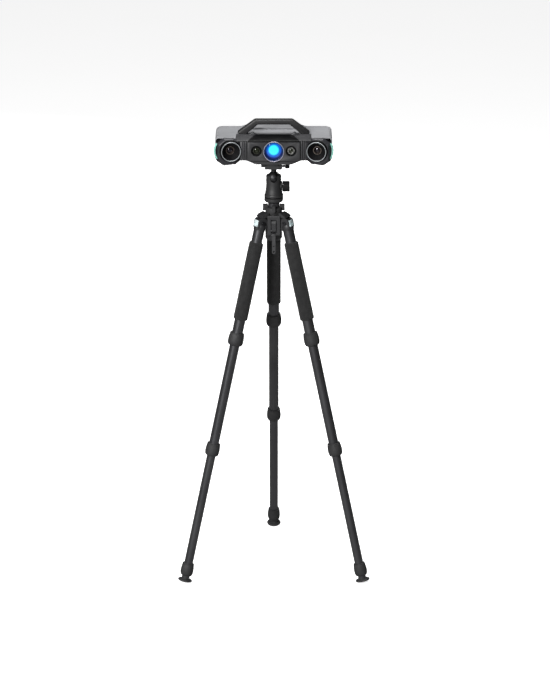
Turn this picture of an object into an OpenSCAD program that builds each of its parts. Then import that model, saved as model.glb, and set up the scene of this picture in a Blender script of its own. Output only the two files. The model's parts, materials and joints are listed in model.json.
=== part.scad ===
// Stereo 3-D scanner head on a ball head and a three-legged, four-section tripod.
// Millimetres. +Z is up, the scanner looks along -Y. The origin is on the ground, in the
// middle of the footprint; the centre column stands at Y = column_y.

/* [Stance] */
// Height of the leg hinges above the ground
hinge_z = 1072; // [900:1:1150]
// Distance of the leg hinges from the column axis
hinge_r = 43.5; // [43:0.5:48]
// Angle of each leg from the vertical at its first stop
splay = 13.8; // [11:0.1:18]
// Place of the column axis in front of the middle of the footprint
column_y = -77; // [-90:1:-60]

/* [Legs] */
// Outer radius of the upper leg tube
tube_a_r = 16; // [15.5:0.1:16]
// Wall thickness of every leg tube
tube_wall = 1.2; // [0.9:0.1:1.3]
// Radial gap between nested leg tubes
tube_gap = 0.3; // [0.25:0.05:0.35]
// Hinge to the middle of the first twist lock, along the leg
lock_a_s = 351; // [340:1:370]
// First to second twist lock
lock_b_pitch = 338; // [330:1:350]
// Second to third twist lock
lock_c_pitch = 374; // [355:1:376]
// Length of a twist lock
lock_len = 38; // [36:1:42]
// Outer radius of the foam grip
foam_r = 21; // [19:0.5:21.5]
// Where the foam grip starts, from the hinge
foam_start = 59; // [50:1:70]
// Length of the foam grip
foam_len = 233; // [200:1:250]
// Radius of the rubber foot
foot_r = 21; // [18:0.5:23]

/* [Ball head] */
// Height of the middle of the ball
ball_z = 1200; // [1199:1:1201]
// Radius of the ball
ball_r = 19.5; // [19:0.1:19.6]
// Radius of the stem on the ball
stem_r = 8; // [7:0.5:8.5]
// Radius of the ball lock knob
ball_knob_r = 15.5; // [12:0.5:16]

/* [Scanner] */
// Half of the width of the scanner over its covers
head_hw = 168; // [166:1:170]
// Height of the flat top deck
deck_z = 1329; // [1328:1:1330]
// Sideways distance of each camera from the middle
camera_x = 123; // [121:1:125]
// Height of all the lens centres
lens_z = 1291; // [1290:1:1292]
// Inward turn of each camera
toe_in = 9; // [7:0.5:10]
// Thickness of the cover walls
wall = 3; // [2.5:0.5:3]
// Height of the carry handle's bar
handle_bar = 14.1; // [12:0.1:16]
// Half of the length of the handle's straight bar
handle_hw = 47; // [44:1:50]

/* [Hidden] */
$fn = 64;

// Colours
graphite = [0.20, 0.20, 0.21];
dark_paint = [0.16, 0.16, 0.17];
rubber_black = [0.09, 0.09, 0.10];
foam_grey = [0.13, 0.13, 0.13];
tab_silver = [0.85, 0.93, 0.95];
deck_grey = [0.64, 0.65, 0.66];
bright_metal = [0.80, 0.82, 0.84];
mint = [0.58, 0.85, 0.78];
lamp_cyan = [0.25, 0.92, 1.00];

// Legs: one heading per leg, anticlockwise from +X
leg_names = ["front_left", "front_right", "back"];
leg_headings = [210, 330, 90];

// Leg tube radii, each section running inside the one above
tube_step = tube_wall + tube_gap;
tube_b_r = tube_a_r - tube_step;
tube_c_r = tube_b_r - tube_step;
tube_d_r = tube_c_r - tube_step;

// Places along a leg, from the hinge
lock_b_s = lock_a_s + lock_b_pitch;
lock_c_s = lock_b_s + lock_c_pitch;
tube_overlap = 50;
casting_end = 22;
socket_top = 14.5;
leg_len = (hinge_z - foot_r * sin(splay)) / cos(splay);
foot_thick = 9;
foot_neck_r = 12;

// Leg casting and its hinge
knuckle_r = 15;
cheek_out = 15;
slot_hw = 7.3;
tongue_hw = 7;
skirt_r = 17.5;
bolt_r = 4;
hinge_clear = 0.05;
tab_hw = 10.5;
tab_pin_y = 9.2;
tab_pin_r = 1.3;

// Spider and column
hub_r = 27;
sleeve_r = 24.5;
sleeve_bottom = 1015;
hub_top = 1093;
cap_hw = 16.5;
column_r = 13;
column_clear = 0.08;
column_bottom = 1018;
ring_bottom = hub_top + 0.4;
ring_top = 1114;
lobe_top = 1122.5;
neck_r = 16.2;
pan_bottom = 1126;
pan_top = 1143;
pan_spigot_r = 12;
block_hw = 18;
block_front = -34;
lever_pin_z = 1050;
lever_pin_r = 2.5;
hook_pin_z = 1037;
hook_pin_r = 1.6;

// Ball head
cavity_gap = 0.3;
housing_bottom = pan_top + 0.5;
housing_top = 1209;
notch_hw = 10.3;
ball_knob_z = 1174.5;
ball_knob_start = 25;
ball_knob_end = 46.5;
ball_knob_shaft_r = 5;

// Clamp and plate, about a centre line a little to the left of the column
clamp_x = -4;
clamp_bottom = 1230.5;
clamp_deck = 1240;
jaw_top = 1245.5;
clamp_hl = 26;
plate_hl = 30;
plate_bottom = clamp_deck + 0.3;
dovetail_hw = 19;
dovetail_top_hw = 16.8;
clamp_screw_z = 1235;
clamp_screw_r = 2;

// Scanner
keel_z = 1250;
keel_hw = 79;
bench_z = 1266;
arm_z = 1262;
lobe_z = 1249;
head_front = -58;
cover_front = -42;
brow_back = -6;
head_back = 104;
corner_cut = 16;
fascia_hw = 82;
edge_r = 10;
projector_r = 24.6;
aux_x = 49.5;
ring_r = 29.4;

// Turns a leg part drawn along -Z from its hinge into place
module on_leg(index) {
    translate([0, column_y, 0])
        rotate([0, 0, leg_headings[index]])
            translate([hinge_r, 0, hinge_z])
                rotate([0, -splay, 0])
                    children();
}

// Moves a part drawn about the column axis into place
module on_column() {
    translate([0, column_y, 0]) children();
}

// A straight tube along a leg between two distances from the hinge
module leg_tube(radius, start, end) {
    translate([0, 0, -end])
        difference() {
            cylinder(h = end - start, r = radius);
            translate([0, 0, -1]) cylinder(h = end - start + 2, r = radius - tube_wall);
        }
}

// Points of a quarter circle about a centre
function arc(cx, cy, r, from, to, steps = 6) =
    [for (i = [0:steps]) [cx + r * cos(from + (to - from) * i / steps),
                          cy + r * sin(from + (to - from) * i / steps)]];

// A prism along Y from y0 to y1, drawn as an X-Z outline
module along_y(y0, y1) {
    translate([0, y1, 0]) rotate([90, 0, 0]) linear_extrude(y1 - y0) children();
}

// A prism along X from x0 to x1, drawn as a Y-Z outline
module along_x(x0, x1) {
    translate([x0, 0, 0]) rotate([90, 0, 90]) linear_extrude(x1 - x0) children();
}

// ---------------------------------------------------------------- legs

// Forked knuckle that turns on the spider and holds the upper tube
module leg_casting(index) {
    color(dark_paint) on_leg(index)
        difference() {
            union() {
                rotate([90, 0, 0]) cylinder(h = 2 * cheek_out, r = knuckle_r, center = true);
                translate([-14.5, -cheek_out, -casting_end + 6])
                    cube([29, 2 * cheek_out, casting_end - 6]);
                translate([0, 0, -casting_end]) cylinder(h = casting_end - 6, r = skirt_r);
            }
            // Slot between the two cheeks, for the spider's tongue
            translate([-30, -slot_hw, -socket_top]) cube([60, 2 * slot_hw, 40]);
            // Socket for the upper tube, open to the slot above it
            translate([0, 0, -casting_end - 1])
                cylinder(h = casting_end - socket_top + 1, r = tube_a_r);
            // Hinge bore through both cheeks
            rotate([90, 0, 0])
                cylinder(h = 60, r = bolt_r + hinge_clear, center = true);
            // Pocket and pin bores for the angle tab
            translate([13.2, -tab_hw - 0.3, -12.4]) cube([12, 2 * tab_hw + 0.6, 19]);
            for (side = [-1, 1])
                translate([5, side * tab_pin_y, -9.5]) rotate([0, 90, 0])
                    cylinder(h = 10, r = tab_pin_r + hinge_clear);
        }
}

// Upper leg tube, glued into the casting
module upper_tube(index) {
    color(graphite) on_leg(index) leg_tube(tube_a_r, socket_top, lock_a_s + 2);
}

// Foam sleeve over the upper tube
module foam_grip(index) {
    color(foam_grey) on_leg(index)
        translate([0, 0, -foam_start - foam_len])
            rotate_extrude()
                polygon(concat(
                    [[tube_a_r, 0]],
                    arc(foam_r - 3, 3, 3, -90, 0, 4),
                    arc(foam_r - 3, foam_len - 3, 3, 0, 90, 4),
                    [[tube_a_r, foam_len]]));
}

// Twist lock: a barrel that screws onto the end of one tube and grips the next
module twist_lock(index, centre, outer_r, upper_tube_r) {
    inner_r = upper_tube_r - tube_step + 0.3;
    step_z = lock_len / 2 - 3;
    color(rubber_black) on_leg(index)
        translate([0, 0, -centre - lock_len / 2])
            rotate_extrude()
                polygon([
                    [inner_r, 0], [outer_r - 5.6, 0], [outer_r - 3.4, 1.4],
                    [outer_r - 1.6, 5], [outer_r - 0.4, 11], [outer_r, 18],
                    [outer_r - 0.4, 26], [outer_r - 1.4, 34], [outer_r - 2.2, lock_len - 1.5],
                    [outer_r - 3, lock_len], [upper_tube_r + 0.3, lock_len],
                    [upper_tube_r + 0.3, step_z], [inner_r, step_z]]);
}

module lock_a(index) twist_lock(index, lock_a_s, 23, tube_a_r);
module lock_b(index) twist_lock(index, lock_b_s, 21.2, tube_b_r);
module lock_c(index) twist_lock(index, lock_c_s, 19.2, tube_c_r);

// Second leg section
module tube_b(index) {
    color(graphite) on_leg(index) leg_tube(tube_b_r, lock_a_s - tube_overlap, lock_b_s + 2);
}

// Third leg section
module tube_c(index) {
    color(graphite) on_leg(index) leg_tube(tube_c_r, lock_b_s - tube_overlap + 5, lock_c_s + 2);
}

// Fourth leg section, pushed fully in, with the plug that carries the foot
module tube_d(index) {
    foot_top = leg_len - foot_thick;
    color(graphite) on_leg(index) {
        leg_tube(tube_d_r, lock_c_s - 335, foot_top - 4);
        translate([0, 0, -foot_top]) cylinder(h = 4, r = tube_d_r);
        translate([0, 0, -foot_top]) cylinder(h = 20, r = tube_d_r - tube_wall);
    }
}

// Round rubber foot, square to the leg
module foot(index) {
    color(rubber_black) on_leg(index)
        translate([0, 0, -leg_len])
            rotate_extrude()
                polygon(concat(
                    [[0, 0]],
                    arc(foot_r - 0.6, 0.6, 0.6, -90, 0, 3),
                    arc(foot_r - 2.5, foot_thick - 4.5, 2.5, 0, 80, 4),
                    [[foot_neck_r, foot_thick - 1], [foot_neck_r, foot_thick], [0, foot_thick]]));
}

// Silver tab that locks the leg's angle; it pulls straight out of the casting
module angle_tab(index) {
    color(tab_silver) on_leg(index)
        intersection() {
            union() {
                translate([13.5, -tab_hw, -12]) cube([4, 2 * tab_hw, 18]);
                for (side = [-1, 1])
                    translate([6, side * tab_pin_y, -9.5]) rotate([0, 90, 0])
                        cylinder(h = 8, r = tab_pin_r);
            }
            union() {
                rotate([90, 0, 0]) cylinder(h = 40, r = 15.9, center = true);
                translate([0, -20, -14]) cube([17.6, 40, 8]);
            }
        }
}

// ---------------------------------------------------------------- centre

// One shoulder of the spider: a tongue for the casting's fork under a sloping cap
module shoulder() {
    rotate([90, 0, 0])
        linear_extrude(2 * tongue_hw, center = true)
            polygon([[15, 1056], [sleeve_r, 1060], [hinge_r - 6, 1061.5], [hinge_r - 6, 1083],
                     [hinge_r - 2, 1089], [15, 1089]]);
    translate([hinge_r, 0, hinge_z])
        rotate([90, 0, 0]) cylinder(h = 2 * tongue_hw, r = 12.5, center = true);
    rotate([90, 0, 0])
        linear_extrude(2 * cap_hw, center = true)
            polygon([[16, 1088.2], [48, 1088.2], [49, 1089.2], [42, 1095.5], [29, 1100.5],
                     [25.5, 1100.5], [25.5, 1092.6], [16, 1092.6]]);
}

// The casting that carries the legs and guides the column
module spider() {
    color(dark_paint) on_column()
        difference() {
            union() {
                translate([0, 0, 1086]) cylinder(h = hub_top - 1086, r = hub_r);
                translate([0, 0, sleeve_bottom + 7])
                    cylinder(h = 1088 - sleeve_bottom - 7, r = sleeve_r);
                translate([0, 0, sleeve_bottom])
                    cylinder(h = 7.2, r1 = sleeve_r - 6, r2 = sleeve_r);
                for (heading = leg_headings)
                    rotate([0, 0, heading]) shoulder();
                // Front block for the release lever and the load hook
                along_x(-16.2, 16.2)
                    polygon([[-18, 1034], [-29, 1034], [-29, 1094], [-hub_r, 1094],
                             [-18, 1090]]);
                along_x(-block_hw, block_hw)
                    polygon([[-28.7, 1034], [block_front + 4, 1034], [block_front, 1038],
                             [block_front, 1091], [block_front + 3, 1094], [-28.7, 1094]]);
            }
            // Column bore
            translate([0, 0, sleeve_bottom - 1])
                cylinder(h = 100, r = column_r + column_clear);
            // Hinge bolt bores
            for (heading = leg_headings)
                rotate([0, 0, heading])
                    translate([hinge_r, 0, hinge_z])
                        rotate([90, 0, 0]) cylinder(h = 60, r = bolt_r, center = true);
            // Pocket behind the release lever
            translate([-8.5, block_front - 1, 1043]) cube([17, 8, 40]);
            // Slot for the load hook, open at the bottom
            translate([-5.5, block_front - 1, 1030]) cube([11, 7.3, 12.5]);
            // Pin bores of the lever and the hook
            translate([0, block_front + 2.5, lever_pin_z]) rotate([0, 90, 0])
                cylinder(h = 21.6, r = lever_pin_r + hinge_clear, center = true);
            translate([0, block_front + 2, hook_pin_z]) rotate([0, 90, 0])
                cylinder(h = 15.6, r = hook_pin_r + hinge_clear, center = true);
            // Threaded accessory hole in the back of the sleeve
            rotate([0, 0, 150]) translate([sleeve_r, 0, 1036])
                rotate([0, 90, 0]) cylinder(h = 16, r = 4.76, center = true);
            // The ring seat stays clear of the caps
            translate([0, 0, hub_top]) cylinder(h = 20, r = 25.3);
        }
}

// Three hinge bolts with round heads, fixed in the spider's tongues
module hinge_bolts() {
    color(bright_metal) on_column()
        for (heading = leg_headings)
            rotate([0, 0, heading])
                translate([hinge_r, 0, hinge_z])
                    rotate([90, 0, 0])
                        difference() {
                            union() {
                                cylinder(h = 2 * cheek_out + 1, r = bolt_r, center = true);
                                for (side = [-1, 1])
                                    translate([0, 0, side * (cheek_out + 1.7)])
                                        cylinder(h = 3, r = 5.7, center = true);
                            }
                            translate([0, 0, cheek_out + 1.4])
                                cylinder(h = 4, r = 2.6, $fn = 6);
                        }
}

// Raised lever in the front block; it swings in on a pin at its lower end
module release_lever() {
    color(graphite) on_column()
        difference() {
            union() {
                along_x(-6.3, 6.3)
                    polygon([[block_front + 2.5, 1046.5], [block_front - 1, 1046.5],
                             [block_front - 4, 1050], [block_front - 4.5, 1072],
                             [block_front - 2, 1079], [block_front + 2.5, 1079]]);
                translate([0, block_front + 2.5, lever_pin_z])
                    rotate([0, 90, 0]) cylinder(h = 21, r = lever_pin_r, center = true);
            }
            for (row = [0:4])
                translate([-7, block_front - 5.4, 1058 + row * 3.4]) cube([14, 1.6, 1.4]);
        }
}

// Flat load hook that hangs under the lever, with an eye for a bag
module load_hook() {
    color(graphite) on_column()
        translate([0, block_front + 2, 0])
            difference() {
                union() {
                    translate([-5, -2, 985]) cube([10, 4, hook_pin_z - 985]);
                    translate([0, 2, 985]) rotate([90, 0, 0]) cylinder(h = 4, r = 5);
                    translate([0, 0, hook_pin_z]) rotate([0, 90, 0])
                        cylinder(h = 10, r = 3.4, center = true);
                    translate([0, 0, hook_pin_z]) rotate([0, 90, 0])
                        cylinder(h = 15, r = hook_pin_r, center = true);
                }
                translate([0, 3, 987]) rotate([90, 0, 0]) cylinder(h = 6, r = 2.75);
                translate([0, 3, 1003]) rotate([90, 0, 0]) cylinder(h = 6, r = 2.25);
            }
}

// Short centre column with the top plate that the ball head stands on
module center_column() {
    color(graphite) on_column()
        difference() {
            union() {
                translate([0, 0, column_bottom])
                    cylinder(h = ring_top + 0.4 - column_bottom, r = column_r);
                translate([0, 0, ring_top + 0.4])
                    cylinder(h = pan_bottom - ring_top - 0.4, r = neck_r);
            }
            translate([0, 0, column_bottom - 1]) cylinder(h = 80, r = column_r - 3);
        }
}

// Collar with four finger lobes that clamps the column
module column_lock_ring() {
    color(rubber_black) on_column()
        difference() {
            union() {
                translate([0, 0, ring_bottom])
                    cylinder(h = ring_top - ring_bottom - 2, r = 24.3);
                translate([0, 0, ring_top - 2]) cylinder(h = 2, r1 = 24.3, r2 = 22.3);
                for (turn = [0:90:270])
                    rotate([0, 0, turn])
                        along_x(16.6, 32)
                            polygon([[-4.75, 1106], [-2.5, 1103], [2.5, 1103], [4.75, 1106],
                                     [4.75, lobe_top - 1.5], [3.25, lobe_top],
                                     [-3.25, lobe_top], [-4.75, lobe_top - 1.5]]);
            }
            translate([0, 0, ring_bottom - 1])
                cylinder(h = 40, r = column_r + column_clear);
            translate([0, 0, ring_top]) cylinder(h = 20, r = neck_r + 0.4);
        }
}

// ---------------------------------------------------------------- ball head

// Fixed base of the panning joint, screwed onto the column
module pan_base() {
    color(dark_paint) on_column()
        rotate_extrude()
            polygon([[0, pan_bottom], [neck_r, pan_bottom], [neck_r + 0.6, pan_bottom + 1],
                     [24.6, 1130], [26.8, 1133], [27.3, 1135], [27.3, pan_top - 1.6],
                     [23.5, pan_top],
                     [pan_spigot_r, pan_top], [pan_spigot_r, pan_top + 7], [0, pan_top + 7]]);
}

// Housing of the ball, with a notch in front that the stem drops into
module ball_housing() {
    color(dark_paint) on_column()
        difference() {
            union() {
                rotate_extrude($fn = 96)
                    polygon(concat(
                        [[0, housing_bottom], [23.5, housing_bottom],
                         [27.5, housing_bottom + 2], [27.5, 1150.5], [26.8, 1152.4],
                         [25.4, 1153.6], [24.4, 1160], [23.0, 1168], [22.2, 1178], [22, 1190]],
                        arc(20, housing_top - 2, 2, 0, 90, 4),
                        [[0, housing_top]]));
                // Collar behind the lock knob
                translate([0, 0, ball_knob_z]) rotate([0, 90, 0])
                    cylinder(h = ball_knob_start - 0.4, r = 12.5);
            }
            translate([0, 0, ball_z]) sphere(r = ball_r + cavity_gap, $fn = 96);
            // Space under the ball for its pressure seat
            translate([0, 0, 1160]) cylinder(h = 32, r = 14);
            translate([0, 0, housing_bottom - 1])
                cylinder(h = 12, r = pan_spigot_r + hinge_clear);
            // Drop notch
            along_y(-40, 0)
                polygon(concat([[-notch_hw, ball_z + 20]], arc(0, ball_z, notch_hw, 180, 360, 14),
                               [[notch_hw, ball_z + 20]]));
            // Bore of the lock knob's shaft
            translate([0, 0, ball_knob_z]) rotate([0, 90, 0])
                cylinder(h = 40, r = ball_knob_shaft_r + hinge_clear);
        }
}

// Ball lock knob with a finger-ribbed rim
module ball_knob() {
    ribs = 18;
    color(rubber_black) on_column()
        translate([0, 0, ball_knob_z]) rotate([0, 90, 0]) {
            difference() {
                rotate_extrude()
                    polygon([[0, ball_knob_start], [ball_knob_r - 1.5, ball_knob_start],
                             [ball_knob_r, ball_knob_start + 1.5],
                             [ball_knob_r, ball_knob_end - 1.5],
                             [ball_knob_r - 1.5, ball_knob_end], [0, ball_knob_end]]);
                for (i = [0:ribs - 1])
                    rotate([0, 0, i * 360 / ribs])
                        translate([ball_knob_r + 0.7, 0, ball_knob_start + 3])
                            cylinder(h = ball_knob_end - ball_knob_start - 5, r = 1.4, $fn = 16);
                translate([0, 0, ball_knob_end - 1]) cylinder(h = 2, r = 10.5);
            }
            translate([0, 0, 15]) cylinder(h = ball_knob_start - 14, r = ball_knob_shaft_r);
        }
}

// Ball, stem and the pivot that the clamp turns on
module ball_stem() {
    color(bright_metal) on_column() {
        translate([0, 0, ball_z]) sphere(r = ball_r, $fn = 96);
        translate([0, 0, ball_z]) cylinder(h = clamp_bottom - 0.3 - ball_z, r = stem_r);
        translate([0, 0, ball_z]) cylinder(h = clamp_bottom + 3 - ball_z, r = 4.5);
    }
}

// Base of the dovetail clamp with its fixed jaw
module clamp_body() {
    color(dark_paint) on_column()
        difference() {
            union() {
                translate([clamp_x - 21.8, -clamp_hl, clamp_bottom])
                    cube([49, 2 * clamp_hl, clamp_deck - clamp_bottom]);
                along_y(-clamp_hl, clamp_hl)
                    translate([clamp_x, 0])
                        polygon([[-dovetail_hw - 0.3, clamp_deck - 2.5],
                                 [-dovetail_hw - 0.3, clamp_deck + 1.3],
                                 [-dovetail_top_hw - 0.3, jaw_top - 2],
                                 [-dovetail_top_hw - 0.3, jaw_top], [-31, jaw_top],
                                 [-32.5, jaw_top - 1.5], [-32.5, clamp_deck - 2.5]]);
            }
            translate([0, 0, clamp_bottom - 1]) cylinder(h = 4.6, r = 4.5 + hinge_clear);
            translate([8, 0, clamp_screw_z]) rotate([0, 90, 0])
                cylinder(h = 30, r = clamp_screw_r + hinge_clear);
            // Room for the moving jaw's foot
            translate([clamp_x + 21, -clamp_hl - 1, clamp_bottom + 2])
                cube([10, 2 * clamp_hl + 2, 12]);
        }
}

// Moving jaw of the clamp, drawn in by the knob
module clamp_jaw() {
    color(dark_paint) on_column()
        difference() {
            along_y(-clamp_hl, clamp_hl)
                translate([clamp_x, 0])
                    polygon([[21.3, clamp_bottom + 2.3], [28.5, clamp_bottom + 2.3],
                             [28.5, jaw_top - 1], [27.5, jaw_top],
                             [dovetail_top_hw + 0.3, jaw_top],
                             [dovetail_top_hw + 0.3, jaw_top - 2],
                             [dovetail_hw + 0.3, clamp_deck + 1.3],
                             [dovetail_hw + 0.3, clamp_deck + 0.3], [21.3, clamp_deck + 0.3]]);
            translate([8, 0, clamp_screw_z]) rotate([0, 90, 0])
                cylinder(h = 30, r = clamp_screw_r + hinge_clear);
        }
}

// Clamp knob with its screw
module clamp_knob() {
    knob_start = clamp_x + 29;
    color(rubber_black) on_column()
        translate([0, 0, clamp_screw_z]) rotate([0, 90, 0]) {
            translate([0, 0, 12]) cylinder(h = knob_start + 6 - 12, r = clamp_screw_r);
            translate([0, 0, knob_start]) cylinder(h = 8, r = 3.2);
            difference() {
                translate([0, 0, knob_start + 8]) cylinder(h = 13, r = 7.5);
                for (i = [0:9])
                    rotate([0, 0, i * 36])
                        translate([8.3, 0, knob_start + 9.5])
                            cylinder(h = 10, r = 1.7, $fn = 16);
            }
        }
}

// ---------------------------------------------------------------- scanner

// Dovetail plate screwed under the scanner
module quick_release_plate() {
    color(graphite) on_column() {
        along_y(-plate_hl, plate_hl)
            translate([clamp_x, 0])
                polygon([[-dovetail_hw, plate_bottom], [dovetail_hw, plate_bottom],
                         [dovetail_hw, clamp_deck + 1.2], [dovetail_top_hw, jaw_top - 2.2],
                         [dovetail_top_hw, keel_z], [-dovetail_top_hw, keel_z],
                         [-dovetail_top_hw, jaw_top - 2.2], [-dovetail_hw, clamp_deck + 1.2]]);
        translate([0, 0, keel_z - 1]) cylinder(h = 8, r = 3.175);
    }
}

// Half outline of the underside, from the middle to the right
function underside(grow) = [
    [0, keel_z + grow], [51, keel_z + grow], [keel_hw, arm_z + grow],
    [95, arm_z + grow], [110, lobe_z + grow], [148 - grow / 2, lobe_z + grow],
    [head_hw - grow, 1267.6]
];

// Whole underside outline, both halves, left to right
function underside_line(grow) = concat(
    [for (i = [6:-1:1]) [-underside(grow)[i][0], underside(grow)[i][1]]],
    underside(grow));

// Plan of the head with its back corners cut, drawn in by a distance
module head_plan(inset) {
    x1 = head_hw - inset;
    y1 = head_back - inset;
    cut = corner_cut - 0.586 * inset;
    translate([0, 0, 1200])
        linear_extrude(200)
            polygon([[-x1, -60], [x1, -60], [x1, y1 - cut], [x1 - cut, y1],
                     [cut - x1, y1], [-x1, y1 - cut]]);
}

// Lower shell: keel, underside and back wall with vents, sockets and feet for the boards
module lower_shell() {
    color(graphite) on_column()
        difference() {
            union() {
                intersection() {
                    along_y(-38, 101)
                        difference() {
                            polygon(underside_line(0));
                            polygon(concat([[-head_hw - 1, 1280]], underside_line(wall),
                                           [[head_hw + 1, 1280]]));
                        }
                    head_plan(0.3);
                }
                // Nose of the keel under the fascia
                along_y(-44, -37.9)
                    polygon([[-51, keel_z], [51, keel_z], [keel_hw, arm_z], [-keel_hw, arm_z]]);
                // Back wall, turned in at both corners
                intersection() {
                    difference() {
                        head_plan(wall + 0.3);
                        head_plan(wall + 4.3);
                        translate([-200, -61, 1190]) cube([400, 141, 220]);
                    }
                    along_y(70, 110)
                        polygon(concat(
                            [[8 - head_hw, deck_z - wall - 0.3],
                             [wall + 0.5 - head_hw, deck_z - wall - 5]],
                            underside_line(0.5),
                            [[head_hw - wall - 0.5, deck_z - wall - 5],
                             [head_hw - 8, deck_z - wall - 0.3]]));
                }
                // Solid seat for the plate's screw
                translate([-20, -30, keel_z + 1]) cube([40, 60, 8]);
                // Boss behind the power socket
                translate([52, 87, 1268]) rotate([-90, 0, 0]) cylinder(h = 11, r = 7);
                // Posts for the bench and the board
                for (x = [-40, 40]) {
                    translate([x, 8, keel_z + 1]) cylinder(h = bench_z - keel_z - 1, r = 5);
                    for (y = [52, 80])
                        translate([x * 1.1, y, keel_z + 1]) cylinder(h = 14, r = 3.5);
                }
            }
            translate([0, 0, keel_z - 1]) cylinder(h = 9, r = 3.175);
            // Vents, button hole and ports in the back wall
            along_y(95, 103) {
                for (x = [-82:8:82])
                    translate([x - 2, 1290]) square([4, 26]);
                translate([-35, 1268]) circle(r = 8.3);
                for (x = [3, 21])
                    translate([x, 1268]) square([10, 4.6]);
            }
            // Power socket
            translate([52, 102, 1268]) rotate([90, 0, 0]) cylinder(h = 13, r = 4.25);
        }
}

// Half outline of the cover's cross-section, rounded along its outer edges
function cover_half(grow) = concat(
    [[head_hw - grow, 1268]],
    arc(head_hw - edge_r, deck_z - edge_r, edge_r - grow, 0, 90, 6),
    [[0, deck_z - grow]]);

// Pale top cover: the flat deck with its rear hump, and the two upper sides
module top_cover() {
    outer = cover_half(0);
    inner = cover_half(wall);
    last = len(outer) - 1;
    color(deck_grey) on_column()
        intersection() {
            difference() {
                union() {
                    along_y(cover_front, head_back)
                        polygon(concat(
                            outer, [for (i = [last - 1:-1:0]) [-outer[i][0], outer[i][1]]],
                            [for (p = inner) [-p[0], p[1]]],
                            [for (i = [last - 1:-1:0]) inner[i]]));
                    along_y(58, 99)
                        polygon([[-97, deck_z - 1], [-97, deck_z + 0.4], [-80, deck_z + 5.4],
                                 [80, deck_z + 5.4], [97, deck_z + 0.4], [97, deck_z - 1]]);
                }
                // The front frame reaches further back between the cameras
                translate([-108, cover_front - 1, deck_z - 20])
                    cube([216, brow_back - cover_front + 1, 40]);
            }
            head_plan(0);
        }
}

// Dark front frame between the cameras: fascia, brow and the handle's front blocks
module front_fascia() {
    brow = 1331.5;
    color(graphite) on_column()
        difference() {
            union() {
                // Hollow frame, drawn from the side
                along_x(-fascia_hw, fascia_hw)
                    polygon([[head_front + 2, arm_z + 1], [head_front, arm_z + 3],
                             [head_front, 1321], [head_front + 2, 1323], [-12, brow],
                             [brow_back - 0.3, brow - 1], [brow_back - 0.3, deck_z - 2],
                             [-12, brow - 4], [head_front + 4, 1318.5],
                             [head_front + 4, arm_z + 4], [-39, arm_z + 4], [-39, arm_z + 1]]);
                // Shoulders that meet the camera housings
                for (side = [-1, 1])
                    mirror([side < 0 ? 1 : 0, 0, 0]) {
                        along_x(fascia_hw - 0.1, 107.7)
                            polygon([[-30, 1327.5], [-12, brow - 1.2],
                                     [brow_back - 0.3, brow - 1.2],
                                     [brow_back - 0.3, deck_z - 3], [-30, deck_z - 4]]);
                        along_x(52, 67)
                            polygon([[-16, brow - 2], [-13, 1336.5], [-8, 1338],
                                     [brow_back - 0.3, 1338], [brow_back - 0.3, brow - 2]]);
                    }
            }
            // Projector and auxiliary lens openings
            translate([0, 0, lens_z]) rotate([90, 0, 0]) cylinder(h = 80, r = ring_r + 0.1);
            for (x = [-aux_x, aux_x])
                translate([x, 0, lens_z + 2]) rotate([90, 0, 0]) cylinder(h = 80, r = 15);
        }
}

// Trapezium carry handle, a flat-sided bar bent over the deck
module carry_handle() {
    low = deck_z + 28.8;
    top = low + handle_bar;
    color(dark_paint) on_column()
        along_y(-5.5, 19.5)
            polygon([[-105, deck_z + 5.5], [-handle_hw - 9, top - 1.3], [-handle_hw - 4, top],
                     [handle_hw + 4, top], [handle_hw + 9, top - 1.3], [105, deck_z + 5.5],
                     [105, deck_z + 0.1], [80, deck_z + 0.1], [handle_hw + 0.5, low - 1.2],
                     [handle_hw - 3.5, low], [3.5 - handle_hw, low],
                     [-handle_hw - 0.5, low - 1.2], [-80, deck_z + 0.1],
                     [-105, deck_z + 0.1]]);
}

// Outline of a camera housing's front, outer side towards +X
function lobe_outline() = [
    [38, -24], [38, 24], [19, 40], [-12, 40], [-37, 24], [-37, -22], [-27, -27],
    [-5, -41], [16, -41]
];

// Places a part on the right or left camera axis, its front at y = 0
module on_camera(side) {
    mirror([side < 0 ? 1 : 0, 0, 0])
        translate([camera_x, head_front - 2, lens_z])
            rotate([0, 0, -toe_in])
                children();
}

// Two faceted camera housings
module camera_housings() {
    color(graphite) on_column()
        difference() {
            for (side = [-1, 1])
                on_camera(side)
                    difference() {
                        union() {
                            translate([0, 8, 0]) rotate([90, 0, 0])
                                linear_extrude(8, scale = 0.95) polygon(lobe_outline());
                            along_y(7.9, 46) polygon(lobe_outline());
                            translate([0, 46, 0]) rotate([90, 0, 0]) cylinder(h = 38, r = 43.4);
                        }
                        rotate([-90, 0, 0]) translate([0, 0, -1])
                            cylinder(h = 8.2, r = ring_r + 0.1);
                        rotate([-90, 0, 0]) translate([0, 0, -1]) cylinder(h = 60, r = 27.1);
                        // Seat of the light strip
                        rotate([-90, 0, 0]) translate([0, 0, 9.8])
                            light_band(42.6, 60, 36, 10.6);
                    }
            // Kept inside the covers and off the middle frame
            translate([-200, cover_front - 0.3, deck_z - wall - 0.3]) cube([400, 100, 40]);
            for (side = [-1, 1])
                translate([side * (head_hw - wall - 0.3 + 50), cover_front + 49.7, 1290])
                    cube([100, 100, 140], center = true);
            translate([-fascia_hw - 0.2, -100, 1200]) cube([2 * fascia_hw + 0.4, 200, 150]);
            translate([-108, -30.3, deck_z - 4.5]) cube([216, 80, 40]);
            difference() {
                translate([-200, -38.2, 1200]) cube([400, 80, 67.9]);
                along_y(-39, 60)
                    polygon(concat([[-head_hw - 1, 1280]], underside_line(wall + 0.2),
                                   [[head_hw + 1, 1280]]));
            }
        }
}

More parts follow.
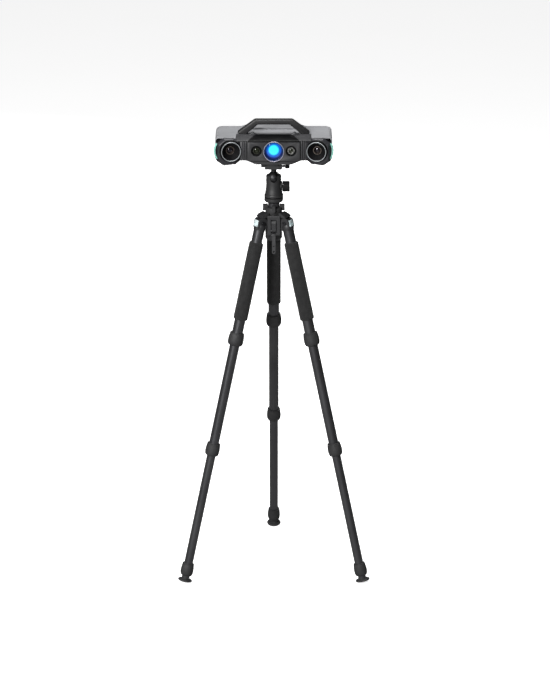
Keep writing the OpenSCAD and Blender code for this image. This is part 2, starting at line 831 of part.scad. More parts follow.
// Sector of a ring about a camera axis, on its outer side
module light_band(inner_r, outer_r, half_angle, depth) {
    intersection() {
        difference() {
            cylinder(h = depth, r = outer_r);
            translate([0, 0, -1]) cylinder(h = depth + 2, r = inner_r);
        }
        linear_extrude(depth)
            polygon([[0, 0], [90 * cos(half_angle), 90 * sin(half_angle)],
                     [90 * cos(half_angle), -90 * sin(half_angle)]]);
    }
}

// Mint light strips, one on the outer side of each camera housing
module light_strips() {
    color(mint) on_column()
        for (side = [-1, 1])
            on_camera(side)
                rotate([-90, 0, 0]) translate([0, 0, 10]) light_band(42.8, 45, 34, 8);
}

// Bright rings around the two cameras and the projector
module lens_rings() {
    color(bright_metal) on_column() {
        for (side = [-1, 1])
            on_camera(side) rotate([-90, 0, 0]) translate([0, 0, -1.5]) lens_ring();
        translate([0, head_front, lens_z]) rotate([-90, 0, 0])
            translate([0, 0, -1.5]) lens_ring();
    }
}

// One ring, its front at z = 0
module lens_ring() {
    rotate_extrude()
        polygon([[ring_r - 3.4, 1.2], [ring_r - 2.6, 0], [ring_r - 1, 0], [ring_r, 1],
                 [ring_r, 8], [ring_r - 2.6, 8], [ring_r - 3.4, 3]]);
}

// Black baffles and barrels of the cameras, the auxiliary lenses and the projector
module lens_barrels() {
    color(rubber_black) on_column() {
        for (side = [-1, 1])
            on_camera(side)
                rotate([-90, 0, 0])
                    rotate_extrude()
                        polygon([[26.7, 7], [27, 7], [27, 30], [15, 44], [15, 58], [11, 58],
                                 [11, 40], [24.8, 8], [25.6, 7]]);
        for (x = [-aux_x, aux_x])
            translate([x, head_front, lens_z + 2]) rotate([-90, 0, 0])
                rotate_extrude()
                    polygon([[8, 2.5], [10, 2], [10, 6], [14.9, 7], [14.9, 11], [10, 11],
                             [10, 24], [8, 24]]);
        translate([0, head_front, lens_z]) rotate([-90, 0, 0])
            rotate_extrude()
                polygon([[projector_r + 0.1, 7], [28.5, 7], [28.5, 40], [24, 44], [0, 44],
                         [0, 41], [projector_r - 2, 41], [projector_r + 0.1, 38]]);
    }
}

// Glass of the cameras and of the auxiliary lenses
module lens_windows() {
    color([0.2, 0.22, 0.28, 0.6]) on_column() {
        for (side = [-1, 1])
            on_camera(side) rotate([-90, 0, 0]) glass_lens(10.9, 41);
        for (x = [-aux_x, aux_x])
            translate([x, head_front, lens_z + 2]) rotate([-90, 0, 0]) glass_lens(7.9, 6);
    }
}

// A plano-convex lens, its rim starting at a depth
module glass_lens(radius, depth) {
    curve_r = radius * 1.8;
    sag = curve_r - sqrt(curve_r * curve_r - radius * radius);
    translate([0, 0, depth])
        intersection() {
            cylinder(h = 6, r = radius);
            translate([0, 0, curve_r]) sphere(r = curve_r);
        }
}

// Lit projector lens
module projector_lens() {
    color(lamp_cyan) on_column()
        translate([0, head_front, lens_z]) rotate([-90, 0, 0])
            translate([0, 0, 13])
                intersection() {
                    cylinder(h = 14, r = projector_r);
                    translate([0, 0, 70]) sphere(r = 70, $fn = 96);
                }
}

// Stiff beam inside the head that holds the cameras and the projector
module optical_bench() {
    color(bright_metal) on_column()
        difference() {
            translate([-112, 3, bench_z]) cube([224, 12, 50]);
            for (x = [-75:50:75])
                translate([x, 20, 1291]) rotate([90, 0, 0]) cylinder(h = 30, r = 13);
        }
}

// Main board with its heat sink and connectors
module main_board() {
    color([0.05, 0.25, 0.12]) on_column() {
        difference() {
            translate([-70, 44, keel_z + 15]) cube([140, 48.5, 1.6]);
            // Notch round the power socket
            translate([43.5, 85.5, keel_z + 14]) cube([17, 9, 4]);
        }
        translate([-60, 50, keel_z + 16.6]) cube([34, 30, 2]);
        for (i = [0:6])
            translate([-60 + i * 5.5, 50, keel_z + 18.6]) cube([1.5, 30, 12]);
        for (x = [2, 20])
            translate([x, 84, keel_z + 16.6]) cube([12, 10, 7]);
    }
}

// Round power button in the back wall
module power_button() {
    color(bright_metal) on_column()
        translate([-35, 95.4, 1268]) rotate([-90, 0, 0])
            rotate_extrude()
                polygon([[0, 0], [9.5, 0], [9.5, 1.2], [8, 1.2], [8, 7.6], [7.2, 8.4],
                         [0, 8.4]]);
}

// ---------------------------------------------------------------- drawing

for (i = [0:2]) {
    leg_casting(i);
    upper_tube(i);
    foam_grip(i);
    lock_a(i);
    tube_b(i);
    lock_b(i);
    tube_c(i);
    lock_c(i);
    tube_d(i);
    foot(i);
    angle_tab(i);
}
spider();
hinge_bolts();
release_lever();
load_hook();
center_column();
column_lock_ring();
pan_base();
ball_housing();
ball_knob();
ball_stem();
clamp_body();
clamp_jaw();
clamp_knob();
quick_release_plate();
lower_shell();
top_cover();
front_fascia();
carry_handle();
camera_housings();
lens_rings();
lens_barrels();
lens_windows();
projector_lens();
light_strips();
optical_bench();
main_board();
power_button();
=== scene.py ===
import json
import math

import bmesh
import bpy
from mathutils import Matrix, Vector


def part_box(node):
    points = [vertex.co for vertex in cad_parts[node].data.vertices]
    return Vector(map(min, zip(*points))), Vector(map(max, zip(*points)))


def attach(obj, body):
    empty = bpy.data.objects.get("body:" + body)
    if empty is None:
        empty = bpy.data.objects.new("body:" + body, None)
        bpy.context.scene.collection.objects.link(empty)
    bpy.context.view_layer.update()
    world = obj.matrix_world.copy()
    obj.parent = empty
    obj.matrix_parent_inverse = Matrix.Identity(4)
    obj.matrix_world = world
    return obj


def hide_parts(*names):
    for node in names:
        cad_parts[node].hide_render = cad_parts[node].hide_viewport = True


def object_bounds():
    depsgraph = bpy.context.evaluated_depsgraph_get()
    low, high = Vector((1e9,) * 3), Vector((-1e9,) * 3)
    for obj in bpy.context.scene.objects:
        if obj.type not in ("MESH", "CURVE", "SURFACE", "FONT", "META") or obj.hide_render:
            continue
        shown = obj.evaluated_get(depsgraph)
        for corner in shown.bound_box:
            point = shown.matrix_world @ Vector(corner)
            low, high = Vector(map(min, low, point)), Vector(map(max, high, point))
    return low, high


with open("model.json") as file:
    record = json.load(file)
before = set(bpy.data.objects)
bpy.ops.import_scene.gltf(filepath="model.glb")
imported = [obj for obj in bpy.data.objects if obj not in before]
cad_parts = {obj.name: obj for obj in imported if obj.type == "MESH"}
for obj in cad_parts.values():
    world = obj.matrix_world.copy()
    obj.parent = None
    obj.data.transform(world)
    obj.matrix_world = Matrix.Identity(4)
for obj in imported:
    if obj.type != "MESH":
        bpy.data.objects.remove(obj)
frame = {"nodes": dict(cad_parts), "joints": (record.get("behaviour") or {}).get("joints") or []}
cad_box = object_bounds()

nodes = frame["nodes"]
joints = {j["name"]: j for j in frame["joints"]}
MM = 0.001
TAU = 2 * math.pi
LEGS = ("front_left", "front_right", "back")
SIDES = ((-1, "left"), (1, "right"))


# ------------------------------------------------------------------ materials

class Shader:
    """A node material with one principled shader and short helpers for its textures."""

    def __init__(self, name, color, roughness, metallic=0.0, **sockets):
        self.material = bpy.data.materials.new(name)
        self.material.use_nodes = True
        self.tree = self.material.node_tree
        self.shader = self.tree.nodes["Principled BSDF"]
        self.shader.inputs["Base Color"].default_value = (*color, 1)
        self.shader.inputs["Roughness"].default_value = roughness
        self.shader.inputs["Metallic"].default_value = metallic
        for key, value in sockets.items():
            self.shader.inputs[key.replace("_", " ")].default_value = value
        self.place = self.node("ShaderNodeTexCoord").outputs["Object"]
        self.normal = None

    def node(self, kind, **values):
        """A new node; each value sets the input or the setting of that name."""
        made = self.tree.nodes.new(kind)
        for key, value in values.items():
            if key in made.inputs:
                made.inputs[key].default_value = value
            else:
                setattr(made, key, value)
        return made

    def link(self, a, b):
        self.tree.links.new(a, b)

    def noise(self, scale, detail=3.0, stretch=(1, 1, 1)):
        """Soft noise, fixed to the object; stretch under 1 draws it out along that axis."""
        mapping = self.node("ShaderNodeMapping")
        mapping.inputs["Scale"].default_value = stretch
        self.link(self.place, mapping.inputs["Vector"])
        made = self.node("ShaderNodeTexNoise", Scale=scale, Detail=detail)
        self.link(mapping.outputs["Vector"], made.inputs["Vector"])
        return made.outputs["Fac"]

    def cells(self, scale):
        made = self.node("ShaderNodeTexVoronoi", Scale=scale)
        self.link(self.place, made.inputs["Vector"])
        return made.outputs["Distance"]

    def ramp(self, source, low, high, from_low=0.35, from_high=0.65):
        """Maps the source's span onto low to high, and holds it there."""
        made = self.node("ShaderNodeMapRange")
        made.inputs["From Min"].default_value = from_low
        made.inputs["From Max"].default_value = from_high
        made.inputs["To Min"].default_value = low
        made.inputs["To Max"].default_value = high
        self.link(source, made.inputs["Value"])
        return made.outputs["Result"]

    def mix(self, factor, a, b):
        """Blends two colours or colour sockets."""
        made = self.node("ShaderNodeMix", data_type="RGBA")
        for index, value in ((6, a), (7, b)):
            if isinstance(value, tuple):
                made.inputs[index].default_value = (*value, 1)
            else:
                self.link(value, made.inputs[index])
        self.link(factor, made.inputs[0])
        return made.outputs[2]

    def bump(self, height, strength, distance):
        """Adds relief on top of the relief so far; distance is in metres."""
        made = self.node("ShaderNodeBump", Strength=strength, Distance=distance)
        self.link(height, made.inputs["Height"])
        if self.normal is not None:
            self.link(self.normal, made.inputs["Normal"])
        self.normal = made.outputs["Normal"]
        self.link(self.normal, self.shader.inputs["Normal"])

    def edges(self, radius):
        """1 on edges, 0 on flats, from how far a rounded normal leans off the true one."""
        low, high = 0.02, 0.25
        rounded = self.node("ShaderNodeBevel", samples=4, Radius=radius)
        true = self.node("ShaderNodeNewGeometry")
        dot = self.node("ShaderNodeVectorMath", operation="DOT_PRODUCT")
        self.link(rounded.outputs["Normal"], dot.inputs[0])
        self.link(true.outputs["Normal"], dot.inputs[1])
        return self.ramp(dot.outputs["Value"], 1, 0, 1 - high, 1 - low)

    def set_color(self, socket):
        self.link(socket, self.shader.inputs["Base Color"])

    def set_roughness(self, socket):
        self.link(socket, self.shader.inputs["Roughness"])


def tinted(color, factor):
    """The colour made darker or paler, within 1."""
    return tuple(min(1.0, c * factor) for c in color)


def moulded(name, color, roughness, grain=900, wear_and_highlight=1.5, **sockets):
    """Moulded plastic or powder coat: fine grain, faint mottling, and paler edges that are partly
    rubbed wear and partly a painted highlight.
    """
    depth = 0.00012
    made = Shader(name, color, roughness, **sockets)
    mottle = made.ramp(made.noise(14, 4), 0, 1, 0.3, 0.7)
    body = made.mix(mottle, tinted(color, 0.9), tinted(color, 1.1))
    edge = made.edges(0.0008)
    scuffs_and_glints = made.ramp(made.noise(160, 5), 0.2, 1, 0.4, 0.62)
    # Paler edges in patches: partly rubbed wear, partly a painted highlight on the rounded edges
    worn_and_highlit = made.node("ShaderNodeMath", operation="MULTIPLY")
    made.link(edge, worn_and_highlit.inputs[0])
    made.link(scuffs_and_glints, worn_and_highlit.inputs[1])
    made.set_color(made.mix(worn_and_highlit.outputs[0], body, tinted(color, wear_and_highlight)))
    made.set_roughness(made.ramp(made.noise(45, 4), roughness - 0.06, roughness + 0.08))
    made.bump(made.cells(grain), 0.35, depth)
    made.bump(made.noise(grain * 0.4, 4), 0.25, depth)
    return made.material


def anodised(name, color, roughness):
    """Drawn tube: faint lengthwise lines under a satin anodised skin."""
    made = Shader(name, color, roughness, metallic=0.75)
    lines = made.noise(900, 2, stretch=(1, 1, 0.02))
    made.set_color(made.mix(made.ramp(made.noise(9, 3), 0, 1), tinted(color, 0.88),
                            tinted(color, 1.1)))
    made.set_roughness(made.ramp(lines, roughness - 0.05, roughness + 0.07))
    made.bump(lines, 0.08, 0.00003)
    return made.material


def foam(name, color):
    """Closed-cell foam: open pores, soft blotches and a trace of sheen."""
    made = Shader(name, color, 0.9, Sheen_Weight=0.12, Sheen_Roughness=0.5)
    made.set_color(made.mix(made.ramp(made.noise(320, 5), 0, 1), tinted(color, 0.8),
                            tinted(color, 1.3)))
    made.set_roughness(made.ramp(made.noise(60, 3), 0.8, 0.95))
    made.bump(made.cells(1500), 0.8, 0.0004)
    made.bump(made.noise(420, 5), 0.4, 0.0003)
    return made.material


def rubber(name, color, roughness=0.7, **sockets):
    """Rubber or matt black paint: blotchy, with a fine uneven skin."""
    made = Shader(name, color, roughness, **sockets)
    made.set_color(made.mix(made.ramp(made.noise(30, 5), 0, 1), tinted(color, 0.8),
                            tinted(color, 1.25)))
    made.set_roughness(made.ramp(made.noise(70, 4), roughness - 0.08, roughness + 0.1))
    made.bump(made.noise(1100, 3), 0.35, 0.0001)
    return made.material


def polished(name, color, roughness):
    """Turned or polished metal with faint smears."""
    made = Shader(name, color, roughness, metallic=1.0)
    made.set_roughness(made.ramp(made.noise(220, 4), roughness * 0.7, roughness * 1.6))
    made.set_color(made.mix(made.ramp(made.noise(40, 3), 0, 1), tinted(color, 0.92), color))
    made.bump(made.noise(700, 2), 0.05, 0.00002)
    return made.material


def coated_glass(name, heart, edge, tint, coat):
    """Dark lens glass: two close tones under a tinted coating."""
    made = Shader(name, heart, 0.05, Coat_Weight=coat, Coat_Tint=tint, IOR=1.5)
    made.set_color(made.mix(made.ramp(made.noise(70, 2), 0, 0.5), heart, edge))
    made.set_roughness(made.ramp(made.noise(90, 2), 0.03, 0.08))
    return made.material


def glowing(name, center, core_radii, rim_radii):
    """Projector lens: a cyan core, a blue ring round it and a nearly black rim."""
    made = Shader(name, (0.0, 0.05, 0.25), 0.12, Coat_Weight=0.8)
    offset = made.node("ShaderNodeVectorMath", operation="SUBTRACT")
    offset.inputs[1].default_value = center
    made.link(made.place, offset.inputs[0])
    flat = made.node("ShaderNodeVectorMath", operation="MULTIPLY")
    flat.inputs[1].default_value = (1, 0, 1)
    made.link(offset.outputs[0], flat.inputs[0])
    length = made.node("ShaderNodeVectorMath", operation="LENGTH")
    made.link(flat.outputs[0], length.inputs[0])
    core = made.ramp(length.outputs["Value"], 1, 0, *core_radii)
    rim = made.ramp(length.outputs["Value"], 0, 1, *rim_radii)
    body = made.mix(core, (0.003, 0.07, 0.36), (0.03, 0.66, 0.86))
    made.set_color(made.mix(rim, body, (0.01, 0.015, 0.08)))
    made.link(made.mix(rim, body, (0.012, 0.02, 0.12)), made.shader.inputs["Emission Color"])
    made.shader.inputs["Emission Strength"].default_value = 1.0
    return made.material


# ------------------------------------------------------------------ stage

AMBIENT = 0.06
# Direction, how narrow and how bright each soft patch of the surroundings is
SOFT_LIGHTS = (((-0.3, -0.9, 0.3), 5, 3.0), ((0, 0, 1), 2, 2.0))
FLOOR_HALF = 60.0
# The lens in millimetres on a sensor 36 mm high, the camera's place, and its tilt in degrees
LENS = 136.05
CAMERA_PLACE = (0.0037, -7.372, 3.065)
LOOK_DOWN = 18.0


def build_camera():
    """A long lens in front of the object, looking down a little."""
    data = bpy.data.cameras.new("camera")
    data.sensor_fit = "VERTICAL"
    data.sensor_height = 36
    data.lens = LENS
    data.clip_end = 100
    camera = bpy.data.objects.new("camera", data)
    camera.location = CAMERA_PLACE
    camera.rotation_euler = (math.radians(90 - LOOK_DOWN), 0, 0)
    bpy.context.scene.collection.objects.link(camera)
    bpy.context.scene.camera = camera


def area_light(name, place, target, size, power, glossy=True):
    """A soft box that faces its target; glossy says whether reflections may show it."""
    data = bpy.data.lights.new(name, "AREA")
    data.shape = "RECTANGLE"
    data.size, data.size_y = size
    data.energy = power
    light = bpy.data.objects.new(name, data)
    light.location = place
    light.visible_glossy = glossy
    light.rotation_euler = (Vector(target) - Vector(place)).to_track_quat("-Z", "Y").to_euler()
    bpy.context.scene.collection.objects.link(light)


def calculate(tree, operation, source, value):
    """Output of a maths node that works on a socket and a number."""
    made = tree.nodes.new("ShaderNodeMath")
    made.operation = operation
    made.inputs[1].default_value = value
    tree.links.new(source, made.inputs[0])
    return made.outputs[0]


def soft_patch(tree, place, direction, power, strength):
    """Brightness of a soft light that fills a wide patch of the surroundings."""
    dot = tree.nodes.new("ShaderNodeVectorMath")
    dot.operation = "DOT_PRODUCT"
    dot.inputs[1].default_value = Vector(direction).normalized()
    tree.links.new(place, dot.inputs[0])
    facing = calculate(tree, "MAXIMUM", dot.outputs["Value"], 0)
    return calculate(tree, "MULTIPLY", calculate(tree, "POWER", facing, power), strength)


def build_world():
    """Studio with a bright front and ceiling and dark sides, which give the dark outlines."""
    world = bpy.data.worlds.new("studio")
    world.use_nodes = True
    tree = world.node_tree
    place = tree.nodes.new("ShaderNodeTexCoord").outputs["Generated"]
    total = tree.nodes.new("ShaderNodeValue").outputs[0]
    total.default_value = AMBIENT
    for direction, power, strength in SOFT_LIGHTS:
        patch = soft_patch(tree, place, direction, power, strength)
        added = calculate(tree, "ADD", total, 0)
        tree.links.new(patch, added.node.inputs[1])
        total = added
    # What the camera sees behind the floor is plain white
    ray = tree.nodes.new("ShaderNodeLightPath")
    seen = tree.nodes.new("ShaderNodeMix")
    tree.links.new(ray.outputs["Is Camera Ray"], seen.inputs[0])
    tree.links.new(total, seen.inputs[2])
    seen.inputs[3].default_value = 1.0
    tree.links.new(seen.outputs[0], tree.nodes["Background"].inputs["Strength"])
    bpy.context.scene.world = world


def build_floor():
    """A wide pale floor just under the feet."""
    mesh = bpy.data.meshes.new("floor")
    outline = [(-FLOOR_HALF, -FLOOR_HALF, 0), (FLOOR_HALF, -FLOOR_HALF, 0),
               (FLOOR_HALF, FLOOR_HALF, 0), (-FLOOR_HALF, FLOOR_HALF, 0)]
    mesh.from_pydata(outline, [], [(0, 1, 2, 3)])
    floor = bpy.data.objects.new("floor", mesh)
    floor.location.z = cad_box[0][2] - 0.0002
    bpy.context.scene.collection.objects.link(floor)
    made = Shader("floor", (0.92, 0.92, 0.92), 0.9)
    # The camera sees the floor close to white, while the object gets only a weak bounce
    ray = made.node("ShaderNodeLightPath").outputs["Is Camera Ray"]
    pale = made.mix(made.ramp(made.noise(1.5, 2), 0, 1), (0.91, 0.91, 0.91), (0.93, 0.93, 0.93))
    made.set_color(made.mix(ray, (0.25, 0.25, 0.25), pale))
    made.shader.inputs["Emission Color"].default_value = (1, 1, 1, 1)
    made.link(made.ramp(ray, 0.04, 0.8, 0, 1), made.shader.inputs["Emission Strength"])
    floor.data.materials.append(made.material)


def build_stage():
    """Surroundings, three soft lights and the floor."""
    build_world()
    bpy.context.scene.view_settings.view_transform = "Standard"
    area_light("key", (-2.2, -4.6, 3.2), (0, 0, 0.8), (1.3, 1.8), 330)
    area_light("top", (0, 0.2, 4.2), (0, 0, 1.0), (2.4, 2.4), 110)
    area_light("rear", (1.6, 5.0, 1.3), (0, 0, 0.9), (1.6, 1.4), 150, glossy=False)
    build_floor()


# ------------------------------------------------------------------ mesh tools

column_low, column_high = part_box("center_column")
column_y = (column_low.y + column_high.y) / 2
# Millimetres from the column's axis
COLUMN = Matrix.Translation((0, column_y, 0)) @ Matrix.Scale(MM, 4)
# Stands a flat outline up: its Y becomes +Z, and its depth runs along +Y
FACING = Matrix(((1, 0, 0, 0), (0, 0, 1, 0), (0, 1, 0, 0), (0, 0, 0, 1)))
# Turns an outline side on: its X becomes +Y, its Y +Z, and its depth runs along +X
SIDE_ON = Matrix(((0, 0, 1, 0), (1, 0, 0, 0), (0, 1, 0, 0), (0, 0, 0, 1)))


def corners(node):
    """A node's lowest and highest corners from the column's axis, to a tenth of a millimetre."""
    shift = Vector((0, column_y, 0))
    return [Vector([round(v / MM, 1) for v in corner - shift]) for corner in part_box(node)]


def rectangle(left, right, low, high):
    """Outline of a rectangle."""
    return [(left, low), (right, low), (right, high), (left, high)]


def mirrored(half):
    """A whole outline from the points of its right half."""
    return half + [(-x, y) for x, y in reversed(half)]


def dome(radius, front, bulge, back, step=15):
    """Profile of a lens whose front rises by bulge, from its axis to its rim and back."""
    angles = [math.radians(a) for a in range(step, 91, step)]
    curve = [(radius * math.sin(a), front + bulge * (1 - math.cos(a))) for a in angles]
    return [(0, front)] + curve + [(radius, back), (0, back)]


def new_object(name, verts, faces, matrix):
    """A mesh object with its place in its vertices, and its faces turned outwards."""
    mesh = bpy.data.meshes.new(name)
    mesh.from_pydata([matrix @ Vector(v) for v in verts], [], faces)
    work = bmesh.new()
    work.from_mesh(mesh)
    bmesh.ops.remove_doubles(work, verts=work.verts, dist=1e-7)
    bmesh.ops.recalc_face_normals(work, faces=work.faces)
    work.to_mesh(mesh)
    work.free()
    made = bpy.data.objects.new(name, mesh)
    bpy.context.scene.collection.objects.link(made)
    return made


def applied(obj):
    """Turns the object's modifiers into mesh."""
    bpy.context.view_layer.update()
    depsgraph = bpy.context.evaluated_depsgraph_get()
    mesh = bpy.data.meshes.new_from_object(obj.evaluated_get(depsgraph))
    obj.modifiers.clear()
    obj.data = mesh
    return obj


def rounded(obj, width, segments=2, limit=30, smooth=40):
    """Rounds every sharp edge and shades the rest smooth."""
    if width:
        bevel = obj.modifiers.new("round", "BEVEL")
        bevel.width = width * MM
        bevel.segments = segments
        bevel.limit_method = "ANGLE"
        bevel.angle_limit = math.radians(limit)
        applied(obj)
    for face in obj.data.polygons:
        face.use_smooth = True
    obj.data.set_sharp_from_angle(angle=math.radians(smooth))
    return obj


def prism(name, outline, low, high, matrix, width=0.6, segments=2):
    """An X-Y outline drawn out along Z, with its edges rounded by width."""
    count = len(outline)
    verts = [(x, y, z) for z in (low, high) for x, y in outline]
    faces = [tuple(range(count)), tuple(range(count, 2 * count))]
    faces += [(i, (i + 1) % count, count + (i + 1) % count, count + i) for i in range(count)]
    made = new_object(name, verts, faces, matrix)
    return rounded(made, width, segments) if width else made


def lathe(name, profile, matrix, steps=72, closed=True):
    """Turns (radius, height) points about Z; closed joins the last point to the first."""
    verts, faces = [], []
    for r, z in profile:
        verts += [(r * math.cos(TAU * i / steps), r * math.sin(TAU * i / steps), z)
                  for i in range(steps)]
    rows = len(profile)
    for k in range(rows if closed else rows - 1):
        a, b = k * steps, (k + 1) % rows * steps
        faces += [(a + i, a + (i + 1) % steps, b + (i + 1) % steps, b + i) for i in range(steps)]
    made = new_object(name, verts, faces, matrix)
    work = bmesh.new()
    work.from_mesh(made.data)
    bmesh.ops.dissolve_degenerate(work, dist=1e-8, edges=work.edges)
    work.to_mesh(made.data)
    work.free()
    return rounded(made, 0, smooth=35)


def join(name, objects):
    """One object from several that share a place and a finish."""
    work = bmesh.new()
    for obj in objects:
        work.from_mesh(obj.data)
        bpy.data.objects.remove(obj)
    mesh = bpy.data.meshes.new(name)
    work.to_mesh(mesh)
    work.free()
    made = bpy.data.objects.new(name, mesh)
    bpy.context.scene.collection.objects.link(made)
    return made


def carve(obj, cutters, width=0.0, smooth=40):
    """Cuts the cutters out of the object, then rounds the new edges."""
    for cutter in cutters:
        cut = obj.modifiers.new("cut", "BOOLEAN")
        cut.operation = "DIFFERENCE"
        cut.solver = "EXACT"
        cut.object = cutter
    applied(obj)
    for cutter in cutters:
        bpy.data.objects.remove(cutter)
    return rounded(obj, width, smooth=smooth)


def piece(obj, body, slot, material, *replaced):
    """Hands a finished piece to the frame."""
    obj.data.materials.clear()
    obj.data.materials.append(material)
    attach(obj, body)
    if replaced:
        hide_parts(*replaced)
    return obj


def dress(names, material, width=0.0):
    """Gives CAD nodes a material, and rounds their edges a little."""
    for name in names:
        node = nodes[name]
        node.data.materials.clear()
        node.data.materials.append(material)
        if width:
            weld = node.modifiers.new("weld", "WELD")
            weld.merge_threshold = 1e-6
            bevel = node.modifiers.new("round", "BEVEL")
            bevel.width = width * MM
            bevel.segments = 2
            bevel.limit_method = "ANGLE"
            bevel.angle_limit = math.radians(40)
            bevel.harden_normals = True


def per_leg(prefix):
    """Names of one kind of node on all three legs."""
    return [prefix + "_" + leg for leg in LEGS]


# ------------------------------------------------------------------ finishes

# Each finish's edge factor pales its edges: partly rubbed wear, partly a painted highlight
shell = moulded("shell plastic", (0.030, 0.030, 0.032), 0.48)
frame_plastic = moulded("frame plastic", (0.036, 0.037, 0.040), 0.42)
facet_plastic = moulded("facet plastic", (0.021, 0.021, 0.025), 0.4, wear_and_highlight=2.4)
# The ribs' plastic is a paler copy of the shell's: painted light that makes the bars look lit
lit_rib_plastic = moulded("lit rib plastic", (0.052, 0.052, 0.056), 0.42, wear_and_highlight=1.8)
handle_plastic = moulded("handle plastic", (0.014, 0.014, 0.0145), 0.48)
deck = moulded("deck satin", (0.25, 0.253, 0.263), 0.52, wear_and_highlight=1.15)
cast = moulded("cast powder coat", (0.026, 0.026, 0.028), 0.5, grain=1400)
head_paint = moulded("ball head paint", (0.026, 0.026, 0.027), 0.44, grain=1600)
tube = anodised("tube", (0.085, 0.085, 0.09), 0.36)
grip = foam("foam grip", (0.0115, 0.0115, 0.0117))
# The back grip's foam is painted a little paler: painted light that makes up for the shade it stands
# in
painted_light_grip = foam("painted light grip", (0.02, 0.02, 0.0203))
black_rubber = rubber("rubber", (0.026, 0.026, 0.027))
tab = moulded("tab", (0.82, 0.97, 1.0), 0.3, wear_and_highlight=1.05, Metallic=0.1)
steel = polished("steel", (0.3, 0.3, 0.32), 0.35)
dark_steel = polished("dark steel", (0.06, 0.06, 0.065), 0.35)
ball_metal = polished("ball metal", (0.05, 0.05, 0.053), 0.42)
hook_paint = moulded("hook paint", (0.05, 0.05, 0.052), 0.4, grain=1400)
knob_rubber = rubber("knob rubber", (0.0045, 0.0045, 0.005), 0.62, Specular_IOR_Level=0.25)
ring = moulded("ring", (0.48, 0.51, 0.525), 0.36, wear_and_highlight=1.1, Metallic=0.5)
baffle = rubber("baffle", (0.0035, 0.0035, 0.004), 0.6, Specular_IOR_Level=0.15)
brow_black = moulded("brow black", (0.003, 0.003, 0.0033), 0.4, wear_and_highlight=1.2,
                     Specular_IOR_Level=0.1)
dark_cell = polished("lens cell", (0.2, 0.17, 0.15), 0.38)
dark_ring = moulded("projector ring", (0.50, 0.47, 0.58), 0.3, wear_and_highlight=1.1, Metallic=0.5)
blue_wall = moulded("projector wall", (0.002, 0.009, 0.055), 0.5, wear_and_highlight=1.0)
# The small eyes' barrels are one metal in two copies: painted shade darkens the left one and painted
# light pales the right one
aux_lit_and_shaded_metal = {"left": polished("shaded barrel", (0.10, 0.105, 0.085), 0.36),
             "right": polished("lit barrel", (0.62, 0.62, 0.60), 0.36)}
glass = coated_glass("glass", heart=(0.005, 0.004, 0.005), edge=(0.012, 0.014, 0.018),
                     tint=(0.85, 0.75, 0.9, 1), coat=0.5)
aux_glass = coated_glass("small glass", heart=(0.010, 0.011, 0.007), edge=(0.03, 0.035, 0.02),
                         tint=(0.9, 1, 0.8, 1), coat=0.35)
lens_low, lens_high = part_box("projector_lens")
# The glow sits a little above the lens's middle
glow = glowing("projector glow", (lens_low + lens_high) / 2 + Vector((0, 0, 0.0025)),
               core_radii=(0.0105, 0.0165), rim_radii=(0.0195, 0.0235))
mint = moulded("mint strip", (0.28, 0.62, 0.53), 0.35, wear_and_highlight=1.1)
board = moulded("board", (0.02, 0.12, 0.05), 0.4)


# ------------------------------------------------------------------ scanner

fascia_low, fascia_high = corners("front_fascia")
FRONT = fascia_low.y
BACK_WALL = corners("lower_shell")[1].y
LENS_Z = (lens_low.z + lens_high.z) / 2 / MM
# Frames in millimetres, X across and Y up from the lens axis; Z goes back from the front
# plate in FACE, and out of the back wall in REAR
FACE = COLUMN @ Matrix.Translation((0, FRONT, LENS_Z)) @ FACING
REAR = COLUMN @ Matrix.Translation((0, BACK_WALL, LENS_Z)) @ FACING
# The two cameras: their distance from the middle, their front plane and their toe-in
CAMERA_X = 123.0
CAMERA_FRONT = -52.0
TOE_IN = 9.0
# The two small eyes: their distance from the middle and their height over the lens axis
AUX_X = 49.5
AUX_RISE = 2.0
# Outline of a camera housing, outwards and up from the camera's axis
LOBE = [(38.5, -30), (38.5, 21), (19, 37), (-8, 37.5), (-22, 32), (-36, 18), (-36, -20),
        (-26, -28.5), (-7, -42), (19, -44)]
# Inner radius of a mint strip, and how deep its middle lies
STRIP_MIDDLE = (42.8, 14.9)


def camera_matrix(side):
    """Frame of one camera: Z runs back into the head, X outwards, Y up; in millimetres."""
    flip = Matrix.Scale(-1, 4, (1, 0, 0)) if side < 0 else Matrix.Identity(4)
    return (COLUMN @ flip @ Matrix.Translation((CAMERA_X, CAMERA_FRONT, LENS_Z))
            @ Matrix.Rotation(math.radians(-TOE_IN), 4, "Z") @ FACING)


def strip_seat(matrix):
    """Cutter for a mint strip's groove: a ring kept only within a wedge on the outer side."""
    seat = lathe("seat", [(42.6, 8.5), (60, 8.5), (60, 21), (42.6, 21)], matrix, 96)
    wedge = prism("wedge", [(0, 0), (80, 54), (80, -54)], 0, 30, matrix, width=0)
    both = seat.modifiers.new("sector", "BOOLEAN")
    both.operation, both.solver, both.object = "INTERSECT", "EXACT", wedge
    applied(seat)
    bpy.data.objects.remove(wedge)
    return seat


def camera_lobe(side, name):
    """Faceted end housing with a wide chamfer and a round mouth."""
    matrix = camera_matrix(side)
    count = len(LOBE)
    rings = [(0.85, -0.5), (0.91, 1.5), (0.985, 9), (1.0, 12), (1.0, 40)]
    verts = [(x * scale, y * scale, z) for scale, z in rings for x, y in LOBE]
    last = len(rings) - 1
    faces = [tuple(range(count)), tuple(range(last * count, len(verts)))]
    for k in range(last):
        faces += [(k * count + i, k * count + (i + 1) % count,
                   (k + 1) * count + (i + 1) % count, (k + 1) * count + i) for i in range(count)]
    body = new_object("camera_lobe_" + name, verts, faces, matrix)
    rounded(body, 0.5, 2, limit=8, smooth=12)
    mouth = lathe("mouth", [(0, -5), (32.6, -5), (32.6, 0.4), (31.4, 2), (31.4, 36), (0, 36)],
                  matrix, closed=False)
    carve(body, [mouth, strip_seat(matrix)], smooth=12)
    return piece(body, "scanner", "shell_dark", facet_plastic)


